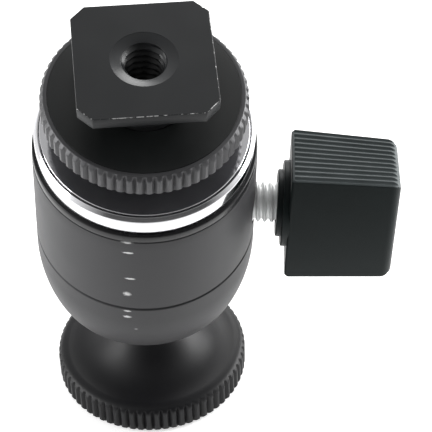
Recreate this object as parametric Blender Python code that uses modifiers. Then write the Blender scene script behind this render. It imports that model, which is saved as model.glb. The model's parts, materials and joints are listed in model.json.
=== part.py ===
"""Miniature ball head with an accessory-shoe foot.

The camera platform is the fixed end and lies level. The ball stands above it on a short neck, and the housing
that grips the ball leans forward on it. A knurled nut and a shoe plate sit on top of the housing, and a wing
knob on its side clamps the ball. The origin is the centre of the platform's outer face.
"""
import math

import bmesh
import bpy
from mathutils import Matrix

MM = 0.001
GAP = 0.3                   # clearance between neighbouring pieces

# Pose of the housing on the ball
TILT_DEG = 14.0             # lean of the housing towards -Y
KNOB_TURN_DEG = -14.5       # clamp knob, about the housing's axis from +X
SHOE_TURN_DEG = -6.3        # shoe plate, about the housing's axis
WING_ROLL_DEG = -19.3       # wing, about the clamp screw from upright

# Ball, neck and camera platform, heights above the platform's face
BALL_HEIGHT = 24.4
BALL_RADIUS = 10.4
NECK_RADIUS = 4.0
NECK_FOOT = 12.3
NECK_SPIGOT_RADIUS = 2.7
PLATFORM_RADIUS = 15.3
PLATFORM_RIM_LOW = 0.3
PLATFORM_RIM_HIGH = 4.9
PLATFORM_TEETH = 70
FLARE_RADIUS = 13.9
FLARE_LOW = 5.2
FLARE_TOP = 12.0
FLARE_TOP_RADIUS = 4.5
FLARE_EXPONENT = 2.3        # how late the flare turns up into the neck
PAD_RADIUS = 12.8
PAD_THICKNESS = 0.9
QUARTER_INCH_RADIUS = 3.1   # 1/4-20 UNC screw, over its crests
CAMERA_SCREW_LENGTH = 5.5   # below the platform's face
SCREW_CHAMFER = 0.6

# Housing, heights above the ball's centre along its own axis
MOUTH_HEIGHT = -4.9
MOUTH_RADIUS = 9.5
MOUTH_CORNER_RADIUS = 6.0
DOME_START = 8.0
DOME_RADIUS = 16.45
DOME_CURVE = 31.0
BARREL_TOP = 29.6
BARREL_TOP_RADIUS = 16.0
GROOVE_HEIGHT = 12.0
GROOVE_WIDTH = 0.4
GROOVE_DEPTH = 0.25
HOUSING_BORE = 12.6
CAP_THREAD_RADIUS = 13.3
CAP_THREAD_FLOOR = 23.5
SEAT_FLOOR = -3.7
SEAT_LOW = -3.4
SEAT_HIGH = 1.5

# Rings and cap that close the housing
LIP_LOW = 29.9
LIP_HIGH = 31.3
LIP_RADIUS = 15.95
TRIM_LOW = 31.6
TRIM_HIGH = 34.6
TRIM_RADIUS = 15.4
TRIM_TOP_RADIUS = 15.0
TRIM_CHAMFER = 0.4
CAP_TOP = 34.7
CAP_FLANGE_RADIUS = 14.7
CAP_FLANGE_LOW = 32.6
CAP_SPIGOT_LOW = 24.8
CAP_POCKET_RADIUS = 7.7
CAP_POCKET_TOP = 28.2

# Clamp train
CUP_RADIUS = 12.2
CUP_LOW = 3.2
CUP_TOP = 13.6
CUP_HOLE_RADIUS = 3.0
PISTON_LOW = 13.9
PISTON_TOP = 20.8
PISTON_CHAMFER = 0.4
KNOB_HEIGHT = 17.3
PIN_RADIUS = 2.7
PIN_NOSE_RADIUS = 1.2
PIN_START = 6.0
PIN_NOSE_LENGTH = 3.5
PIN_END = 13.0
STUD_RADIUS = 3.0
STUD_END = 33.0
STUD_CHAMFER = 0.5
SPRING_RADIUS = 6.0
SPRING_WIRE = 1.0
SPRING_LOW = 21.8
SPRING_HIGH = 27.2
SPRING_TURNS = 3.5

# Wing knob, distances out from the housing's axis
KNOB_NOSE = 19.4
KNOB_COLLAR = 20.2
KNOB_INNER = 21.1
KNOB_OUTER = 36.9
KNOB_NOSE_RADIUS = 5.0
KNOB_COLLAR_RADIUS = 6.4
WING_WIDTH = 17.9
WING_THICKNESS = 13.1
WING_OUTER_WIDTH = 16.9
WING_OUTER_THICKNESS = 11.7
WING_CORNER = 1.0

# Shoe foot and its lock nut
SHOE_TOP = 50.0
SHOE_THICKNESS = 1.9
SHOE_WIDTH = 18.6
SHOE_LENGTH = 18.8
SHOE_CORNER = 1.9
POST_RADIUS = 5.9
POST_LOW = 35.0
RIVET_RADIUS = 4.55
RIVET_NECK_RADIUS = 4.0
TAPPED_RADIUS = 3.0
TAPPED_MOUTH_RADIUS = 3.4
TAPPED_DEPTH = 9.5
NUT_TOP = 42.6
NUT_LOW = 38.7
NUT_RADIUS = 14.3
NUT_FACE_RADIUS = 13.85
NUT_TEETH = 66
NUT_CHAMFER = 0.35
NUT_TOP_CHAMFER = 0.9
WASHER_RADIUS = 13.2
WASHER_THICKNESS = 0.7

FLUTE_DEPTH = 0.5
FINE = 52                   # sides of the larger turned pieces
COARSE = 32                 # sides of the smaller ones


def clear_scene():
    for item in list(bpy.data.objects):
        bpy.data.objects.remove(item, do_unlink=True)


def new_collection(name):
    group = bpy.data.collections.new(name)
    bpy.context.scene.collection.children.link(group)
    return group


def finish(name, colour, roughness, metallic):
    """One Principled material."""
    material = bpy.data.materials.new(name)
    material.use_nodes = True
    shader = material.node_tree.nodes["Principled BSDF"]
    shader.inputs["Base Color"].default_value = (*colour, 1.0)
    shader.inputs["Roughness"].default_value = roughness
    shader.inputs["Metallic"].default_value = metallic
    return material


def empty(name, parent=None, location=(0, 0, 0), rotation=(0, 0, 0)):
    """A joint axis or frame that pieces hang from; location in millimetres, rotation in degrees."""
    item = bpy.data.objects.new(name, None)
    item.empty_display_size = 5 * MM
    PARTS.objects.link(item)
    item.location = [v * MM for v in location]
    item.rotation_euler = [math.radians(v) for v in rotation]
    item.parent = parent
    return item


def add_mesh(name, mesh, parent, material, location=(0, 0, 0), rotation=(0, 0, 0)):
    item = bpy.data.objects.new(name, mesh)
    PARTS.objects.link(item)
    item.location = [v * MM for v in location]
    item.rotation_euler = [math.radians(v) for v in rotation]
    item.parent = parent
    mesh.materials.append(material)
    return item


def turned(name, outline, parent, material, sides=COARSE, closed=False, **place):
    """A piece turned from (radius, height) points that run down its outer side."""
    mesh = bpy.data.meshes.new(name)
    form = bmesh.new()
    points = [form.verts.new((r * MM, 0.0, z * MM)) for r, z in outline]
    for first, second in zip(points, points[1:]):
        form.edges.new((first, second))
    if closed:
        form.edges.new((points[-1], points[0]))
    form.to_mesh(mesh)
    form.free()
    item = add_mesh(name, mesh, parent, material, **place)
    screw = item.modifiers.new("Turn", "SCREW")
    screw.axis = "Z"
    screw.steps = screw.render_steps = sides
    screw.use_merge_vertices = True
    screw.merge_threshold = 0.00001
    screw.use_normal_calculate = False
    return item


def ring(name, inner, outer, low, high, parent, material, **options):
    """A plain flat ring."""
    outline = [(outer, high), (outer, low), (inner, low), (inner, high)]
    return turned(name, outline, parent, material, closed=True, **options)


def arc(centre, radius, start_deg, end_deg, steps):
    """Points on an arc, both ends included."""
    points = []
    for index in range(steps + 1):
        angle = math.radians(start_deg + (end_deg - start_deg) * index / steps)
        points.append((centre[0] + radius * math.cos(angle), centre[1] + radius * math.sin(angle)))
    return points


def rod(form, radius, start, end, sides=24, end_radius=None):
    """Adds a closed cylinder or cone along +X to a bmesh, between two distances from the origin."""
    made = bmesh.ops.create_cone(
        form, cap_ends=True, segments=sides, radius1=radius * MM,
        radius2=(radius if end_radius is None else end_radius) * MM, depth=(end - start) * MM)
    bmesh.ops.rotate(form, verts=made["verts"], cent=(0, 0, 0), matrix=ROD_TURN)
    bmesh.ops.translate(form, verts=made["verts"], vec=((start + end) / 2 * MM, 0, 0))
    return made["verts"]


def cutter(name, form, parent, **place):
    """Turns a bmesh into a hidden cutting body."""
    mesh = bpy.data.meshes.new(name)
    form.to_mesh(mesh)
    form.free()
    item = bpy.data.objects.new(name, mesh)
    CUTTERS.objects.link(item)
    item.location = [v * MM for v in place.get("location", (0, 0, 0))]
    item.rotation_euler = [math.radians(v) for v in place.get("rotation", (0, 0, 0))]
    item.parent = parent
    item.hide_render = True
    item.display_type = "WIRE"
    return item


def cut(item, tool, operation="DIFFERENCE"):
    boolean = item.modifiers.new("Cut", "BOOLEAN")
    boolean.operation = operation
    boolean.solver = "EXACT"
    boolean.object = tool


def flute(item, teeth, radius, low, high, parent):
    """Cuts straight V grooves round a rim."""
    form = bmesh.new()
    reach = FLUTE_DEPTH * 2
    for index in range(teeth):
        # a three-sided prism whose corner points at the axis
        made = bmesh.ops.create_cone(form, cap_ends=True, segments=3, radius1=reach * MM,
                                     radius2=reach * MM, depth=(high - low) * MM)
        corners = made["verts"]
        bmesh.ops.rotate(form, verts=corners, cent=(0, 0, 0), matrix=about_z(90))
        centre = radius - FLUTE_DEPTH + reach
        bmesh.ops.translate(form, verts=corners, vec=(centre * MM, 0, (low + high) / 2 * MM))
        bmesh.ops.rotate(form, verts=corners, cent=(0, 0, 0), matrix=about_z(360 / teeth * index))
    cut(item, cutter(item.name + "_flutes", form, parent))


def about_z(degrees):
    return Matrix.Rotation(math.radians(degrees), 3, "Z")


def make_camera_platform():
    """Knurled disc with a concave flare up to the neck, its rubber pad and its screw."""
    black = finish("platform_black", (0.012, 0.012, 0.013), 0.38, 0.6)
    rubber = finish("pad_rubber", (0.01, 0.01, 0.01), 0.85, 0.0)
    steel = finish("zinc_steel", (0.62, 0.64, 0.62), 0.35, 0.9)
    rise = FLARE_TOP - FLARE_LOW
    run = FLARE_RADIUS - FLARE_TOP_RADIUS
    flare = []
    for step in range(7):
        along = step / 6
        flare.append((FLARE_TOP_RADIUS + run * along, FLARE_LOW + rise * (1 - along) ** FLARE_EXPONENT))
    rim = [
        (PLATFORM_RADIUS - 0.5, PLATFORM_RIM_HIGH),
        (PLATFORM_RADIUS, PLATFORM_RIM_HIGH - 0.45),
        (PLATFORM_RADIUS, PLATFORM_RIM_LOW + 0.4),
        (PLATFORM_RADIUS - 0.4, PLATFORM_RIM_LOW),
    ]
    recess_radius = PAD_RADIUS + GAP
    recess_depth = PAD_THICKNESS + GAP
    screw_bore = QUARTER_INCH_RADIUS + GAP
    neck_bore = NECK_SPIGOT_RADIUS + GAP
    socket = [
        (recess_radius, PLATFORM_RIM_LOW),
        (recess_radius, recess_depth),
        (screw_bore, recess_depth),
        (screw_bore, CAMERA_SCREW_LENGTH + GAP),
        (neck_bore, CAMERA_SCREW_LENGTH + GAP),
        (neck_bore, FLARE_TOP),
    ]
    platform = turned("camera_platform", flare + rim + socket, None, black, sides=FINE, closed=True)
    flute(platform, PLATFORM_TEETH, PLATFORM_RADIUS, PLATFORM_RIM_LOW - 1, PLATFORM_RIM_HIGH + 1, None)
    ring("platform_pad", screw_bore + GAP, PAD_RADIUS, 0.0, PAD_THICKNESS, None, rubber, sides=FINE)
    turned("camera_screw", [
        (0, CAMERA_SCREW_LENGTH),
        (QUARTER_INCH_RADIUS, CAMERA_SCREW_LENGTH),
        (QUARTER_INCH_RADIUS, -CAMERA_SCREW_LENGTH + SCREW_CHAMFER),
        (QUARTER_INCH_RADIUS - SCREW_CHAMFER, -CAMERA_SCREW_LENGTH),
        (0, -CAMERA_SCREW_LENGTH),
    ], None, steel)


def make_ball(parent):
    """Ball and neck, turned in one piece, with a spigot that screws into the platform."""
    steel = finish("ball_steel", (0.05, 0.05, 0.055), 0.3, 0.9)
    foot = NECK_FOOT - BALL_HEIGHT
    spigot = CAMERA_SCREW_LENGTH + 2 * GAP - BALL_HEIGHT
    meets = -math.degrees(math.acos(NECK_RADIUS / BALL_RADIUS))
    outline = arc((0, 0), BALL_RADIUS, 90, meets, 14)
    outline[0] = (0, BALL_RADIUS)
    outline += [
        (NECK_RADIUS, foot),
        (NECK_SPIGOT_RADIUS, foot),
        (NECK_SPIGOT_RADIUS, spigot),
        (0, spigot),
    ]
    turned("ball_and_neck", outline, parent, steel)


def make_seat_ring(parent):
    """Acetal ring under the ball, just inside the mouth."""
    acetal = finish("seat_acetal", (0.75, 0.73, 0.66), 0.5, 0.0)
    seat = BALL_RADIUS + GAP
    inside = arc((0, 0), seat, math.degrees(math.asin(SEAT_LOW / seat)),
                 math.degrees(math.asin(SEAT_HIGH / seat)), 4)
    outer = HOUSING_BORE - GAP
    turned("seat_ring", [(outer, SEAT_HIGH), (outer, SEAT_LOW)] + inside, parent, acetal, closed=True)


def make_housing(parent):
    """Barrel and dome in one piece, open at the top for the cap and at the mouth for the neck."""
    black = finish("satin_black", (0.075, 0.075, 0.078), 0.45, 0.5)
    groove = [
        (GROOVE_WIDTH / 2, 0),
        (0, GROOVE_DEPTH),
        (-GROOVE_WIDTH / 2, 0),
    ]

    def wall(height):
        """Radius of the outside at a height above the ball's centre."""
        if height >= DOME_START:
            along = (BARREL_TOP - height) / (BARREL_TOP - DOME_START)
            return BARREL_TOP_RADIUS + (DOME_RADIUS - BARREL_TOP_RADIUS) * along
        drop = DOME_START - height
        return DOME_RADIUS - DOME_CURVE + math.sqrt(DOME_CURVE ** 2 - drop ** 2)

    outline = [(BARREL_TOP_RADIUS, BARREL_TOP)]
    for offset, depth in groove:
        height = GROOVE_HEIGHT + offset
        outline.append((wall(height) - depth, height))
    corner_height = MOUTH_HEIGHT + MOUTH_CORNER_RADIUS
    join = math.asin((DOME_START - corner_height) / (DOME_CURVE - MOUTH_CORNER_RADIUS))
    corner_start = corner_height - MOUTH_CORNER_RADIUS * math.sin(join)
    for step in range(6):
        height = DOME_START + (corner_start - DOME_START) * step / 5
        outline.append((wall(height), height))
    corner_centre = wall(corner_start) - MOUTH_CORNER_RADIUS * math.cos(join)
    outline += arc((corner_centre, corner_height), MOUTH_CORNER_RADIUS, -math.degrees(join), -90, 6)[1:]
    outline += [
        (MOUTH_RADIUS, MOUTH_HEIGHT),
        (MOUTH_RADIUS + 0.6, SEAT_FLOOR),
        (HOUSING_BORE, SEAT_FLOOR),
        (HOUSING_BORE, CAP_THREAD_FLOOR),
        (CAP_THREAD_RADIUS, CAP_THREAD_FLOOR),
        (CAP_THREAD_RADIUS, BARREL_TOP),
    ]
    housing = turned("housing", outline, parent, black, sides=FINE, closed=True)
    form = bmesh.new()
    rod(form, STUD_RADIUS + GAP, HOUSING_BORE - 3, DOME_RADIUS + 3)
    cut(housing, cutter("clamp_hole", form, parent, location=(0, 0, KNOB_HEIGHT),
                        rotation=(0, 0, KNOB_TURN_DEG)))


def make_top_rings(parent):
    """Lip ring, bright trim ring and the cap that screws them down."""
    gloss = finish("gloss_black", (0.02, 0.02, 0.022), 0.25, 0.5)
    chrome = finish("bright_trim", (0.9, 0.9, 0.92), 0.12, 1.0)
    ring("lip_ring", CAP_THREAD_RADIUS, LIP_RADIUS, LIP_LOW, LIP_HIGH, parent, gloss, sides=FINE)
    recess = CAP_FLANGE_RADIUS + GAP
    floor = CAP_FLANGE_LOW - GAP
    turned("trim_ring", [
        (TRIM_TOP_RADIUS + 0.15, TRIM_HIGH),
        (TRIM_RADIUS, TRIM_HIGH - TRIM_CHAMFER),
        (TRIM_RADIUS, TRIM_LOW),
        (CAP_THREAD_RADIUS, TRIM_LOW),
        (CAP_THREAD_RADIUS, floor),
        (recess, floor),
        (recess, TRIM_HIGH),
    ], parent, chrome, sides=FINE, closed=True)
    spigot = CAP_THREAD_RADIUS - GAP
    stud_bore = QUARTER_INCH_RADIUS + GAP
    turned("base_cap", [
        (CAP_FLANGE_RADIUS, CAP_TOP),
        (CAP_FLANGE_RADIUS, CAP_FLANGE_LOW),
        (spigot, CAP_FLANGE_LOW),
        (spigot, CAP_SPIGOT_LOW),
        (CAP_POCKET_RADIUS, CAP_SPIGOT_LOW),
        (CAP_POCKET_RADIUS, CAP_POCKET_TOP),
        (stud_bore, CAP_POCKET_TOP),
        (stud_bore, CAP_TOP),
    ], parent, chrome, sides=FINE, closed=True)


def make_clamp_train(tilted, knob_axis):
    """Cup and piston on the ball, the spring above them, and the pin that the clamp screw drives."""
    acetal = finish("cup_acetal", (0.06, 0.06, 0.06), 0.5, 0.0)
    brass = finish("brass", (0.72, 0.52, 0.22), 0.3, 1.0)
    steel = finish("spring_steel", (0.55, 0.55, 0.56), 0.3, 1.0)
    hollow = BALL_RADIUS + GAP
    first = math.degrees(math.asin(CUP_LOW / hollow))
    last = math.degrees(math.acos(CUP_HOLE_RADIUS / hollow))
    outline = [(CUP_RADIUS, CUP_TOP), (CUP_RADIUS, CUP_LOW)]
    outline += arc((0, 0), hollow, first, last, 6) + [(CUP_HOLE_RADIUS, CUP_TOP)]
    turned("friction_cup", outline, tilted, acetal, closed=True)

    piston = turned("pressure_piston", [
        (0, PISTON_TOP),
        (CUP_RADIUS - PISTON_CHAMFER, PISTON_TOP),
        (CUP_RADIUS, PISTON_TOP - PISTON_CHAMFER),
        (CUP_RADIUS, PISTON_LOW),
        (0, PISTON_LOW),
    ], tilted, brass)
    form = bmesh.new()
    rod(form, PIN_RADIUS + 2 * GAP, PIN_START - 2, CUP_RADIUS + 2)
    cut(piston, cutter("pin_hole", form, tilted, location=(0, 0, KNOB_HEIGHT), rotation=(0, 0, KNOB_TURN_DEG)))

    axial("thrust_pin", [
        (0, PIN_START),
        (PIN_NOSE_RADIUS, PIN_START),
        (PIN_RADIUS, PIN_START + PIN_NOSE_LENGTH),
        (PIN_RADIUS, PIN_END),
        (0, PIN_END),
    ], knob_axis, steel)

    coil = bpy.data.curves.new("preload_spring", "CURVE")
    coil.dimensions = "3D"
    coil.bevel_depth = SPRING_WIRE / 2 * MM
    coil.bevel_resolution = 1
    coil.use_fill_caps = True
    path = coil.splines.new("POLY")
    count = int(SPRING_TURNS * 10)
    path.points.add(count)
    for index in range(count + 1):
        angle = 2 * math.pi * SPRING_TURNS * index / count
        height = SPRING_LOW + (SPRING_HIGH - SPRING_LOW) * index / count
        path.points[index].co = (SPRING_RADIUS * math.cos(angle) * MM, SPRING_RADIUS * math.sin(angle) * MM,
                                 height * MM, 1)
    add_mesh("preload_spring", coil, tilted, steel)


def axial(name, outline, parent, material, sides=24):
    """A piece turned about the knob's axis, from (radius, distance out) points that run inwards to outwards."""
    flipped = [(r, -out) for r, out in outline]
    return turned(name, flipped, parent, material, sides=sides, rotation=(0, -90, 0))


def make_knob(knob_axis):
    """Clamp screw and the moulded wing on its end."""
    zinc = finish("zinc_screw", (0.66, 0.68, 0.66), 0.35, 0.9)
    plastic = finish("knob_plastic", (0.018, 0.023, 0.022), 0.5, 0.0)
    axial("clamp_stud", [
        (0, PIN_END + GAP),
        (STUD_RADIUS - STUD_CHAMFER, PIN_END + GAP),
        (STUD_RADIUS, PIN_END + GAP + STUD_CHAMFER),
        (STUD_RADIUS, STUD_END),
        (0, STUD_END),
    ], knob_axis, zinc)

    mesh = bpy.data.meshes.new("wing_knob")
    form = bmesh.new()
    made = bmesh.ops.create_cube(form, size=1.0)
    for corner in made["verts"]:
        outer = corner.co.x > 0
        width = WING_OUTER_WIDTH if outer else WING_WIDTH
        thickness = WING_OUTER_THICKNESS if outer else WING_THICKNESS
        corner.co.x = (KNOB_OUTER if outer else KNOB_INNER) * MM
        corner.co.y *= thickness * MM
        corner.co.z *= width * MM
    bmesh.ops.bevel(form, geom=form.edges[:], offset=WING_CORNER * MM, segments=2, profile=0.5,
                    affect="EDGES")
    form.to_mesh(mesh)
    form.free()
    knob = add_mesh("wing_knob", mesh, knob_axis, plastic, rotation=(WING_ROLL_DEG, 0, 0))
    form = bmesh.new()
    rod(form, KNOB_COLLAR_RADIUS, KNOB_COLLAR, KNOB_INNER + 1, sides=COARSE)
    cut(knob, cutter("knob_collar", form, knob_axis), operation="UNION")
    form = bmesh.new()
    rod(form, KNOB_NOSE_RADIUS, KNOB_NOSE, KNOB_COLLAR + 1, sides=COARSE)
    cut(knob, cutter("knob_nose", form, knob_axis), operation="UNION")
    form = bmesh.new()
    rod(form, STUD_RADIUS + GAP, KNOB_NOSE - 1, STUD_END + GAP)
    cut(knob, cutter("knob_bore", form, knob_axis))


def make_shoe(parent):
    """Shoe plate riveted on a threaded post, and the stud that fixes the post to the cap."""
    plate_black = finish("shoe_black", (0.045, 0.046, 0.048), 0.42, 0.6)
    steel = finish("stud_steel", (0.5, 0.5, 0.5), 0.35, 0.9)
    mesh = bpy.data.meshes.new("shoe_plate")
    form = bmesh.new()
    made = bmesh.ops.create_cube(form, size=1.0)
    for corner in made["verts"]:
        corner.co.x *= SHOE_WIDTH * MM
        corner.co.y *= SHOE_LENGTH * MM
        corner.co.z = (SHOE_TOP - SHOE_THICKNESS / 2 + corner.co.z * SHOE_THICKNESS) * MM
    upright = [edge for edge in form.edges if abs(edge.verts[0].co.z - edge.verts[1].co.z) > MM]
    bmesh.ops.bevel(form, geom=upright, offset=SHOE_CORNER * MM, segments=1, affect="EDGES")
    form.to_mesh(mesh)
    form.free()
    plate = add_mesh("shoe_plate", mesh, parent, plate_black, rotation=(0, 0, SHOE_TURN_DEG))
    form = bmesh.new()
    hole = bmesh.ops.create_cone(form, cap_ends=True, segments=COARSE, radius1=(RIVET_NECK_RADIUS + GAP) * MM,
                                 radius2=(RIVET_RADIUS + GAP) * MM, depth=(SHOE_THICKNESS + 0.2) * MM)
    bmesh.ops.translate(form, verts=hole["verts"], vec=(0, 0, (SHOE_TOP - SHOE_THICKNESS / 2) * MM))
    cut(plate, cutter("rivet_hole", form, parent))

    shoulder = SHOE_TOP - SHOE_THICKNESS - GAP
    stud_bore = QUARTER_INCH_RADIUS + GAP
    counterbore_top = SHOE_TOP - TAPPED_DEPTH
    turned("threaded_post", [
        (RIVET_RADIUS - 0.2, SHOE_TOP - 0.1),
        (RIVET_NECK_RADIUS, shoulder + 0.6),
        (RIVET_NECK_RADIUS, shoulder),
        (POST_RADIUS, shoulder),
        (POST_RADIUS, POST_LOW),
        (stud_bore, POST_LOW),
        (stud_bore, counterbore_top),
        (TAPPED_RADIUS, counterbore_top),
        (TAPPED_RADIUS, SHOE_TOP - 1.0),
        (TAPPED_MOUTH_RADIUS, SHOE_TOP - 0.6),
    ], parent, plate_black, closed=True)
    stud_low = CAP_POCKET_TOP + 0.5
    turned("foot_stud", [
        (0, counterbore_top - GAP),
        (QUARTER_INCH_RADIUS, counterbore_top - GAP),
        (QUARTER_INCH_RADIUS, stud_low),
        (0, stud_low),
    ], parent, steel)


def make_lock_nut(parent):
    """Knurled nut on the post, with a friction washer let into its upper face."""
    black = finish("nut_black", (0.04, 0.04, 0.042), 0.4, 0.6)
    felt = finish("washer_black", (0.008, 0.008, 0.008), 0.9, 0.0)
    bore = POST_RADIUS + GAP
    washer_top = NUT_TOP + 0.05
    pocket_floor = washer_top - WASHER_THICKNESS - GAP
    nut = turned("lock_nut", [
        (NUT_FACE_RADIUS, NUT_TOP),
        (NUT_RADIUS, NUT_TOP - NUT_TOP_CHAMFER),
        (NUT_RADIUS, NUT_LOW + NUT_CHAMFER),
        (NUT_RADIUS - NUT_CHAMFER, NUT_LOW),
        (bore, NUT_LOW),
        (bore, pocket_floor),
        (WASHER_RADIUS + GAP, pocket_floor),
        (WASHER_RADIUS + GAP, NUT_TOP),
    ], parent, black, sides=FINE, closed=True)
    flute(nut, NUT_TEETH, NUT_RADIUS, NUT_LOW - 1, NUT_TOP + 1, parent)
    ring("nut_washer", bore + GAP, WASHER_RADIUS, washer_top - WASHER_THICKNESS, washer_top, parent, felt,
         sides=FINE)


clear_scene()
PARTS = new_collection("mini_ball_head")
CUTTERS = new_collection("cutters")
ROD_TURN = Matrix.Rotation(math.radians(90), 3, "Y")

ball_centre = empty("ball_centre", location=(0, 0, BALL_HEIGHT))
housing_axis = empty("housing_axis", ball_centre, rotation=(TILT_DEG, 0, 0))
clamp_axis = empty("clamp_axis", housing_axis, location=(0, 0, KNOB_HEIGHT), rotation=(0, 0, KNOB_TURN_DEG))

make_camera_platform()
make_ball(ball_centre)
make_seat_ring(housing_axis)
make_housing(housing_axis)
make_top_rings(housing_axis)
make_clamp_train(housing_axis, clamp_axis)
make_knob(clamp_axis)
make_shoe(housing_axis)
make_lock_nut(housing_axis)
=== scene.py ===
"""Miniature ball head with an accessory-shoe foot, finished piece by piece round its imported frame.

The camera platform stands level at the origin. The housing leans forward on the ball, with the wing knob on
its side and the shoe foot on top. Shapes are given in millimetres and scaled by MM where they reach Blender.
Finishes, lamps, the camera and the frame are in metres.
"""
import json
import math

import bmesh
import bpy
from mathutils import Matrix, Vector


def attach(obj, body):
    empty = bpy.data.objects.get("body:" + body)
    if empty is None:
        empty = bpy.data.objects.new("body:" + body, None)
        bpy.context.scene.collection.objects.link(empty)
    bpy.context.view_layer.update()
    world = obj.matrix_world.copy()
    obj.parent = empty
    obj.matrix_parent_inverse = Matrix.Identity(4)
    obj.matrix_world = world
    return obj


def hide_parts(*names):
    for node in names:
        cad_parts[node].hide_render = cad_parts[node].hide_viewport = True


bl_info = {
    "name": "Mini ball head",
    "version": (1, 0, 0),
    "blender": (4, 5, 0),
    "location": "View3D > Sidebar > Ball head",
    "description": "Builds a miniature ball head with an accessory-shoe foot, one piece at a time",
    "category": "Object",
}

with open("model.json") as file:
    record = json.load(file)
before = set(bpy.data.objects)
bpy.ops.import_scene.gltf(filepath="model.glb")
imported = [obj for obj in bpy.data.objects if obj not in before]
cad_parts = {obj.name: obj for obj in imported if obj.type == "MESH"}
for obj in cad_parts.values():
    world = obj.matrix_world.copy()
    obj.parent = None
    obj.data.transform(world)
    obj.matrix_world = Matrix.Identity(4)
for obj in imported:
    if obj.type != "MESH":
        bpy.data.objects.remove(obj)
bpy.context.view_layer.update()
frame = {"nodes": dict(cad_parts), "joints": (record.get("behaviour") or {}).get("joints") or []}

MM = 0.001
MERGE = 0.002 * MM          # points closer than this are one point
GAP = 0.3                   # millimetres of clearance between touching pieces
QUARTER_INCH_PITCH = 1.27   # millimetres a turn, 20 threads to the inch
FINE_PITCH = 1.0            # millimetres a turn, on the post and the clamp screw
FINE_DEPTH = 0.5

JOINTS = {joint["name"]: joint for joint in frame["joints"]}

# Frames of the leaning housing and of the clamp screw on its side
BALL_CENTRE = Vector(JOINTS["head_pan"]["pos_m"])
HOUSING_UP = Vector(JOINTS["head_pan"]["axis"]).normalized()
TILT = math.atan2(-HOUSING_UP.y, HOUSING_UP.z)
PLATFORM = Matrix.Identity(4)
HOUSING = Matrix.Translation(BALL_CENTRE) @ Matrix.Rotation(TILT, 4, "X")
CLAMP_OUT = HOUSING.inverted().to_3x3() @ Vector(JOINTS["knob_turn"]["axis"])
CLAMP_HEIGHT = (HOUSING.inverted() @ Vector(JOINTS["knob_turn"]["pos_m"])).z
CLAMP_TURN = math.atan2(CLAMP_OUT.y, CLAMP_OUT.x)
CLAMP = HOUSING @ Matrix.Translation((0, 0, CLAMP_HEIGHT)) @ Matrix.Rotation(CLAMP_TURN, 4, "Z")
CLAMP_TURNED = CLAMP @ Matrix.Rotation(math.radians(90), 4, "Y")   # Z runs out along the screw


# ---------------------------------------------------------------- modelling

def measure(node, place):
    """Lowest and highest height and largest radius of a CAD node in a given frame, in millimetres."""
    back = place.inverted()
    points = [back @ vertex.co for vertex in frame["nodes"][node].data.vertices]
    heights = [point.z / MM for point in points]
    return min(heights), max(heights), max(point.xy.length for point in points) / MM


def rounded(corners, closed=True, steps=4):
    """Outline points from (radius, height, rounding) corners, in millimetres."""
    points = []
    count = len(corners)
    for index, (radius, height, rounding) in enumerate(corners):
        here = Vector((radius, height))
        inner = closed or 0 < index < count - 1
        if not rounding or not inner:
            points.append((radius, height))
            continue
        before = Vector(corners[index - 1][:2]) - here
        after = Vector(corners[(index + 1) % count][:2]) - here
        first = here + before.normalized() * min(rounding, before.length * 0.49)
        last = here + after.normalized() * min(rounding, after.length * 0.49)
        for step in range(steps + 1):
            along = step / steps
            point = first * (1 - along) ** 2 + here * 2 * along * (1 - along) + last * along ** 2
            points.append((point.x, point.y))
    return points


def choose(obj):
    """Makes an object the only selected one and the active one."""
    bpy.ops.object.select_all(action="DESELECT")
    obj.select_set(True)
    bpy.context.view_layer.objects.active = obj


def edit(obj):
    """Chooses an object and enters edit mode, with points as what is selected."""
    choose(obj)
    bpy.ops.object.mode_set(mode="EDIT")
    bpy.ops.mesh.select_mode(type="VERT")


def pick(obj, kind, test):
    """Selects the vertices, edges or faces of the edited mesh that pass a test, and returns how many did."""
    bpy.ops.mesh.select_mode(type=kind)
    bpy.ops.mesh.select_all(action="DESELECT")
    form = bmesh.from_edit_mesh(obj.data)
    members = {"VERT": form.verts, "EDGE": form.edges, "FACE": form.faces}[kind]
    found = 0
    for member in members:
        if test(member):
            member.select_set(True)
            found += 1
    bmesh.update_edit_mesh(obj.data)
    if not found:
        raise RuntimeError(f"{obj.name}: nothing to select")
    return found


def reshape(obj, radius_at):
    """Moves the edited mesh's points towards or from the Z axis, those that need the same scale together."""
    form = bmesh.from_edit_mesh(obj.data)
    groups = {}
    for vertex in form.verts:
        radius = vertex.co.xy.length / MM
        if radius < 0.01:
            continue
        angle = math.atan2(vertex.co.y, vertex.co.x)
        ratio = round(radius_at(radius, angle, vertex.co.z / MM) / radius, 4)
        if ratio != 1:
            groups.setdefault(ratio, []).append(vertex.index)
    bpy.ops.mesh.select_mode(type="VERT")
    bpy.ops.mesh.select_all(action="DESELECT")
    for ratio, chosen in groups.items():
        form = bmesh.from_edit_mesh(obj.data)
        form.verts.ensure_lookup_table()
        for index in chosen:
            form.verts[index].select = True
        bpy.ops.transform.resize(value=(ratio, ratio, 1), center_override=(0, 0, 0))
        form = bmesh.from_edit_mesh(obj.data)
        form.verts.ensure_lookup_table()
        for index in chosen:
            form.verts[index].select = False


def close_up(obj):
    """Merges doubled points of the edited mesh, turns its faces outwards and leaves edit mode."""
    if not bmesh.from_edit_mesh(obj.data).faces:
        raise RuntimeError(f"{obj.name}: the mesh has no faces")
    bpy.ops.mesh.select_all(action="SELECT")
    bpy.ops.mesh.remove_doubles(threshold=MERGE)
    bpy.ops.mesh.normals_make_consistent(inside=False)
    bpy.ops.object.mode_set(mode="OBJECT")


def settle(obj, place, smooth=32):
    """Puts a finished mesh in its place with the object left at the origin, and shades it."""
    choose(obj)
    obj.matrix_world = place
    bpy.ops.object.transform_apply(location=True, rotation=True, scale=True)
    bpy.ops.object.shade_smooth_by_angle(angle=math.radians(smooth))


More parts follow.
